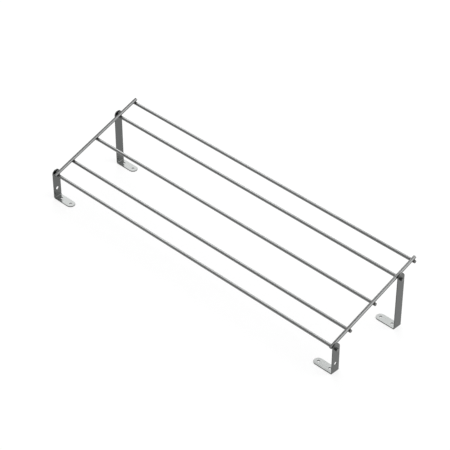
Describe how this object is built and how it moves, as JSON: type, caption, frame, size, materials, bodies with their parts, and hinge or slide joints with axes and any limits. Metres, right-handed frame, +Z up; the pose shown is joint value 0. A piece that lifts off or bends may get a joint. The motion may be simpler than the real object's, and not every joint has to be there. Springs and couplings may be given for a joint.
{
  "type": "sloping wire shoe rack",
  "caption": "Low sloping shoe rack of round steel rods welded under side rails, carried on folded strip brackets that turn on the rod ends and screw down to a panel.",
  "frame": {"origin": "middle of the pattern of the four foot tip holes, on the plane under the feet", "axes": "+X along the rods, -Y to the low front side, +Z up from the feet"},
  "size_m": [0.7, 0.2087, 0.1289],
  "materials": {
    "plated_wire": "bright satin plating on drawn steel wire",
    "plated_strip": "satin plating on flat steel strip",
    "weld_metal": "plated over a small resistance weld"
  },
  "bodies": {
    "rack": {"rod_1_rear_edge": "plated_wire", "rod_2_rear_carrier": "plated_wire", "rod_3_middle": "plated_wire", "rod_4_front_inner": "plated_wire", "rod_5_front_carrier": "plated_wire", "rail_left": "plated_wire", "rail_right": "plated_wire", "weld_left_1": "weld_metal", "weld_left_2": "weld_metal", "weld_left_3": "weld_metal", "weld_left_4": "weld_metal", "weld_left_5": "weld_metal", "weld_right_1": "weld_metal", "weld_right_2": "weld_metal", "weld_right_3": "weld_metal", "weld_right_4": "weld_metal", "weld_right_5": "weld_metal"},
    "bracket_rear_left_body": {"bracket_rear_left": "plated_strip"},
    "bracket_rear_right_body": {"bracket_rear_right": "plated_strip"},
    "bracket_front_left_body": {"bracket_front_left": "plated_strip"},
    "bracket_front_right_body": {"bracket_front_right": "plated_strip"}
  },
  "joints": [
    {"name": "rear_left_bracket_pivot", "type": "hinge", "parent": "rack", "child": "bracket_rear_left_body", "pos_m": [-0.345, 0.07884, 0.106], "axis": [1, 0, 0], "range_deg": [-67, 279]},
    {"name": "rear_right_bracket_pivot", "type": "hinge", "parent": "rack", "child": "bracket_rear_right_body", "pos_m": [0.345, 0.07884, 0.106], "axis": [1, 0, 0], "range_deg": [-67, 279]},
    {"name": "front_left_bracket_pivot", "type": "hinge", "parent": "rack", "child": "bracket_front_left_body", "pos_m": [-0.345, -0.07884, 0.051], "axis": [1, 0, 0], "range_deg": [-230, 101]},
    {"name": "front_right_bracket_pivot", "type": "hinge", "parent": "rack", "child": "bracket_front_right_body", "pos_m": [0.345, -0.07884, 0.051], "axis": [1, 0, 0], "range_deg": [-230, 101]}
  ]
}
